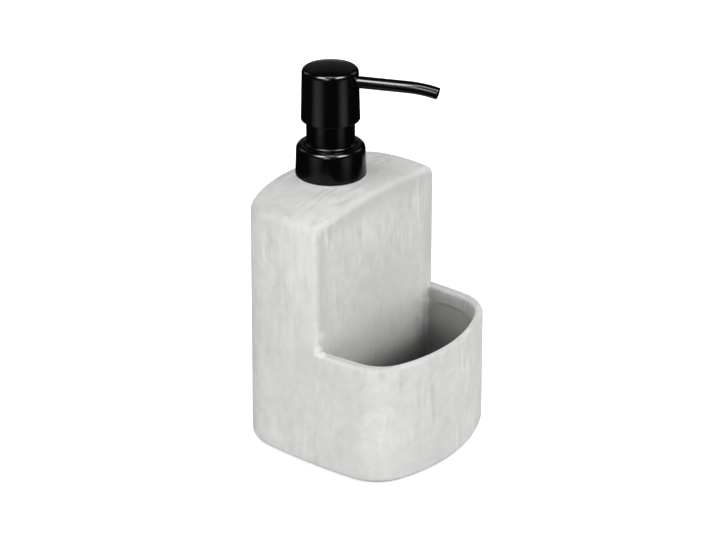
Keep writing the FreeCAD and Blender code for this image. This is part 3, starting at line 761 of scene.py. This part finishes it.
class CADDY_OT_neck(bpy.types.Operator):
    """Finish the threaded bush in the bottle mouth and cut its thread"""
    bl_idname = "caddy.neck"
    bl_label = "Threaded neck"

    def execute(self, context):
        pump = context.scene.caddy_pump
        bush = moulded_black(pump)
        dress(bush, "neck_insert")
        dress(soft_rubber("gasket_rubber", GASKET_DARK, GASKET_PALE), "neck_gasket")
        self.ridge(pump, bush)
        return {"FINISHED"}

    def ridge(self, pump, material):
        """Wind a small ridge up the neck."""
        foot = pump.thread_pitch * RIDGE_FOOT_SHARE
        crest = foot * RIDGE_CREST_SHARE
        inner, outer = pump.neck_radius - RIDGE_SINK, pump.neck_radius + pump.thread_depth
        start = NECK_TOP - pump.thread_drop - pump.thread_turns * pump.thread_pitch
        corners = [(inner, -foot), (outer, -crest), (outer, crest), (inner, foot)]
        bm = bmesh.new()
        points = [bm.verts.new((AXIS.x + out, AXIS.y, start + rise)) for out, rise in corners]
        loop = [bm.edges.new(pair) for pair in zip(points, points[1:] + points[:1])]
        spin_up(bm, points + loop, pump.thread_turns, pump.thread_pitch, RIDGE_STEPS_PER_TURN)
        close_ends(bm, len(corners))
        piece_from("neck_thread", bm, "caddy", material)


class CADDY_OT_cover(bpy.types.Operator):
    """Finish the satin black pieces that show: collar, head and spout"""
    bl_idname = "caddy.cover"
    bl_label = "Black covers"

    def execute(self, context):
        dress(satin_black(context.scene.caddy_pump), "collar_shell", "head_shell", "spout_tube")
        return {"FINISHED"}


class CADDY_OT_engine(bpy.types.Operator):
    """Finish the pump engine inside the bottle"""
    bl_idname = "caddy.engine"
    bl_label = "Pump engine"

    def execute(self, context):
        pump = context.scene.caddy_pump
        dress(milky_plastic(pump, "milky_plastic", clear=0.25), "pump_housing", "dip_tube")
        solid = milky_plastic(pump, "natural_plastic", clear=0.0)
        dress(solid, "stem", "piston", "piston_seat", "ball_cage")
        dress(moulded_black(pump), "guide_cap", "closure_nut", "head_core")
        dress(drawn_steel(pump, "polished_ball", roughness=0.14, fineness=300.0), "check_ball")
        return {"FINISHED"}


class CADDY_OT_spring(bpy.types.Operator):
    """Wind the return spring"""
    bl_idname = "caddy.spring"
    bl_label = "Return spring"

    def execute(self, context):
        pump = context.scene.caddy_pump
        steel = drawn_steel(pump, "drawn_spring_wire", roughness=0.30, fineness=900.0)
        spring = piece_from("wound_spring", self.winding(pump), "pump", steel)
        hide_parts("return_spring")
        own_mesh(spring)
        return {"FINISHED"}

    def winding(self, pump):
        """One unbroken wire: a closed turn at each end and open turns between them."""
        wire = pump.spring_wire / 2
        radius = (SPRING_HIGH.x - SPRING_LOW.x) / 2 - wire
        low, high = SPRING_LOW.z + wire, SPRING_HIGH.z - wire
        end_pitch, active_turns = pump.spring_end_pitch, pump.spring_active_turns
        active_pitch = (high - low - 2 * end_pitch) / active_turns
        bm = bmesh.new()
        place = Matrix.Translation((AXIS.x + radius, AXIS.y, low))
        bmesh.ops.create_circle(
            bm, cap_ends=False, radius=wire, segments=WIRE_SIDES,
            matrix=place @ Matrix.Rotation(math.pi / 2, 4, "X"))
        last = list(bm.verts) + list(bm.edges)
        for turns, pitch in ((1, end_pitch), (active_turns, active_pitch), (1, end_pitch)):
            last = spin_up(bm, last, turns, pitch, WIRE_STEPS_PER_TURN)
        close_ends(bm, WIRE_SIDES)
        return bm


# The studio: headings are in degrees from the front, places and sizes in metres

class Softbox(NamedTuple):
    """A rectangular light that looks at the middle of the caddy."""
    name: str
    heading: tuple
    distance: float
    size: tuple
    power: str
    mirrored: bool = True


class Card(NamedTuple):
    """An upright card beside the set that faces the pump and shows only in mirrors."""
    name: str
    heading: float
    distance: float
    heights: tuple
    width: float
    brightness: str
    share: float = 1.0
    faded: bool = False


SOFTBOXES = (
    Softbox("softbox_left", (-102.0, 20.0), 1.05, (0.55, 1.0), "left_light"),
    Softbox("softbox_right", (1.0, 21.0), 1.05, (0.55, 1.0), "right_light"),
    Softbox("softbox_top", (-54.0, 84.0), 1.0, (0.55, 0.55), "top_light"),
    Softbox("softbox_back", (130.0, 8.0), 1.05, (0.50, 0.40), "back_light", mirrored=False),
)
CARDS = (
    Card("pale_card_left", -98.0, 0.30, (0.41, 0.80), 0.20, "side_card"),
    Card("pale_card_right", -5.0, 0.30, (0.41, 0.80), 0.20, "side_card"),
    Card("spout_card", -68.0, 0.30, (0.18, 0.375), 0.16, "side_card", share=0.58, faded=True),
    Card("low_card_left", -102.0, 0.20, (0.03, 0.13), 0.23, "low_card", faded=True),
    Card("low_card_right", -3.0, 0.20, (0.03, 0.13), 0.19, "low_card", faded=True),
    Card("pale_card_back", 127.0, 0.30, (0.21, 0.40), 0.20, "back_card"),
    Card("low_card_back", 127.0, 0.30, (0.12, 0.205), 0.20, "edge_card", share=0.4),
    Card("edge_card_left", -175.0, 0.30, (0.25, 0.42), 0.12, "edge_card"),
    Card("edge_card_right", 67.0, 0.30, (0.25, 0.42), 0.12, "edge_card"),
)
UNIT_GRID = 0.5  # makes a grid one metre wide
FADE_START, FADE_END, FADE_LOW = 0.4, 0.62, 0.07  # shares of a card's height, and what is left below
FLAG_RADIUS, FLAG_HEIGHT, FLAG_MIDDLE, FLAG_SIDES, FLAG_GLOW = 0.34, 0.9, 0.4505, 64, 0.006
FRONT_CARD_PLACE, FRONT_CARD_SIZE = Vector((-0.13, -0.10, 0.74)), 0.1
FLOOR_REACH, FLOOR_GLOW, FLOOR_ROUGHNESS = 4.0, 0.60, 0.95
FLOOR_DARK, FLOOR_PALE = (0.86, 0.86, 0.86), (0.88, 0.88, 0.88)
BLACK, WHITE = (0.0, 0.0, 0.0, 1.0), (1.0, 1.0, 1.0, 1.0)
SENSOR_WIDTH, NEAR_LIMIT = 36.0, 0.01


class CADDY_OT_stage(bpy.types.Operator):
    """Set up the white studio, the lights and the camera"""
    bl_idname = "caddy.stage"
    bl_label = "Studio"

    def execute(self, context):
        scene = context.scene
        stage = scene.caddy_stage
        self.floor()
        self.sky(scene, stage.sky)
        for box in SOFTBOXES:
            self.softbox(box, getattr(stage, box.power))
        self.flags()
        for card in CARDS:
            self.upright_card(card, getattr(stage, card.brightness) * card.share)
        self.front_card(stage.front_card)
        self.camera(scene, stage)
        scene.view_settings.view_transform = "Standard"
        return {"FINISHED"}

    def floor(self):
        """A wide pale floor that glows a little to the camera and keeps the shadow."""
        r = Recipe("studio_floor")
        r.set("Base Color", r.mix(r.noise(3.0), FLOOR_DARK, FLOOR_PALE))
        r.set("Roughness", FLOOR_ROUGHNESS)
        r.set("Specular IOR Level", 0.0)
        r.set("Emission Color", WHITE)
        r.set("Emission Strength", r.times(r.shown(), FLOOR_GLOW))
        bm = bmesh.new()
        bmesh.ops.create_grid(bm, x_segments=1, y_segments=1, size=FLOOR_REACH)
        floor = object_from("studio_floor", bm, r.material)

    def sky(self, scene, strength):
        """White to the camera and in reflections, softer as light."""
        world = bpy.data.worlds.new("studio_sky")
        world.use_nodes = True
        kit = NodeKit(world.node_tree)
        background = kit.add("ShaderNodeBackground")
        background.inputs["Color"].default_value = WHITE
        level = kit.ramp(kit.shown(), Ramp(0.0, 1.0, strength, 1.0), smooth=False)
        kit.join(level, background.inputs["Strength"])
        output = kit.add("ShaderNodeOutputWorld")
        kit.join(background.outputs["Background"], output.inputs["Surface"])
        scene.world = world

    def softbox(self, box, power):
        """Hang one softbox, unseen by camera and mirrors if it is not to be mirrored."""
        out = heading_to(*box.heading)
        light = bpy.data.lights.new(box.name, "AREA")
        light.shape = "RECTANGLE"
        light.size, light.size_y = box.size
        light.energy = power
        lamp = bpy.data.objects.new(box.name, light)
        lamp.location = (BODY_LOW + BODY_HIGH) / 2 + out * box.distance
        lamp.rotation_euler = (-out).to_track_quat("-Z", "Y").to_euler()
        if not box.mirrored:
            lamp.visible_camera = False
            lamp.visible_glossy = False
        bpy.context.scene.collection.objects.link(lamp)

    def flags(self):
        """A black drum round the set, so that the black pieces mirror little else than the cards."""
        bm = bmesh.new()
        bmesh.ops.create_cone(
            bm, cap_ends=True, cap_tris=False, segments=FLAG_SIDES, radius1=FLAG_RADIUS, radius2=FLAG_RADIUS,
            depth=FLAG_HEIGHT, matrix=Matrix.Translation((AXIS.x, AXIS.y, FLAG_MIDDLE)))
        self.show_in_mirrors("black_flags", bm, FLAG_GLOW)

    def upright_card(self, card, strength):
        """Stand one card up, if wished fading towards its edges."""
        out = heading_to(card.heading)
        low, high = card.heights
        middle = AXIS + out * card.distance + Vector((0, 0, (low + high) / 2))
        turn = (-out).to_track_quat("Z", "Y").to_matrix().to_4x4()
        place = Matrix.Translation(middle) @ turn
        bm = bmesh.new()
        bmesh.ops.create_grid(
            bm, x_segments=1, y_segments=1, size=UNIT_GRID,
            matrix=place @ Matrix.Diagonal((card.width, high - low, 1, 1)))
        r = self.show_in_mirrors(card.name, bm, strength)
        if card.faded:
            self.fade(r, card, place, strength)

    def fade(self, r, card, place, strength):
        """Let a card's brightness fall off towards its sides and its lower edge."""
        across = place.to_3x3() @ Vector((1, 0, 0))
        along = r.vector("DOT_PRODUCT", r.place, across)
        aside = r.size(r.minus(along, across.dot(place.translation)))
        low, high = card.heights
        rise = Ramp(low + (high - low) * FADE_START, low + (high - low) * FADE_END, FADE_LOW)
        height = r.axes(r.place)[2]
        soft = r.times(r.ramp(aside, Ramp(card.width / 2, 0.0)), r.ramp(height, rise))
        r.set("Emission Strength", r.times(soft, strength))

    def front_card(self, strength):
        """A level card over the camera that lights the front edges of the black pieces."""
        bm = bmesh.new()
        bmesh.ops.create_grid(
            bm, x_segments=1, y_segments=1, size=FRONT_CARD_SIZE,
            matrix=Matrix.Translation(AXIS + FRONT_CARD_PLACE))
        self.show_in_mirrors("pale_card_front", bm, strength)

    def show_in_mirrors(self, name, bm, strength):
        """Make a glowing sheet of the stage that only reflections show, and return its recipe."""
        r = Recipe(name)
        r.set("Base Color", BLACK)
        r.set("Specular IOR Level", 0.0)
        r.set("Emission Color", WHITE)
        r.set("Emission Strength", strength)
        card = object_from(name, bm, r.material)
        card.visible_camera = False
        card.visible_diffuse = False
        card.visible_transmission = False
        card.visible_shadow = False
        return r

    def camera(self, scene, stage):
        """The photographer's view."""
        data = bpy.data.cameras.new("camera")
        data.sensor_width = SENSOR_WIDTH
        data.lens = stage.lens
        data.clip_start = NEAR_LIMIT
        camera = bpy.data.objects.new("camera", data)
        camera.location = stage.camera_place
        look = Vector(stage.camera_target) - Vector(stage.camera_place)
        camera.rotation_euler = look.to_track_quat("-Z", "Y").to_euler()
        scene.collection.objects.link(camera)
        scene.camera = camera


class CADDY_PT_panel(bpy.types.Panel):
    """Lists the steps that dress the caddy"""
    bl_idname = "CADDY_PT_panel"
    bl_label = "Soap Pump Caddy"
    bl_space_type = "VIEW_3D"
    bl_region_type = "UI"
    bl_category = "Soap Caddy"

    def draw(self, context):
        for operator in OPERATORS:
            self.layout.operator(operator.bl_idname)


SETTINGS = (
    ("caddy_stoneware", CaddyStonewareSettings),
    ("caddy_pump", CaddyPumpSettings),
    ("caddy_stage", CaddyStageSettings),
)
OPERATORS = (
    CADDY_OT_body,
    CADDY_OT_neck,
    CADDY_OT_cover,
    CADDY_OT_engine,
    CADDY_OT_spring,
    CADDY_OT_stage,
)


def register():
    for name, group in SETTINGS:
        bpy.utils.register_class(group)
        setattr(bpy.types.Scene, name, bpy.props.PointerProperty(type=group))
    for operator in OPERATORS:
        bpy.utils.register_class(operator)
    bpy.utils.register_class(CADDY_PT_panel)


def unregister():
    bpy.utils.unregister_class(CADDY_PT_panel)
    for operator in reversed(OPERATORS):
        bpy.utils.unregister_class(operator)
    for name, group in reversed(SETTINGS):
        delattr(bpy.types.Scene, name)
        bpy.utils.unregister_class(group)


def main():
    register()
    bpy.ops.caddy.body()
    bpy.ops.caddy.neck()
    bpy.ops.caddy.cover()
    bpy.ops.caddy.engine()
    bpy.ops.caddy.spring()
    bpy.ops.caddy.stage()


if __name__ == "__main__":
    main()
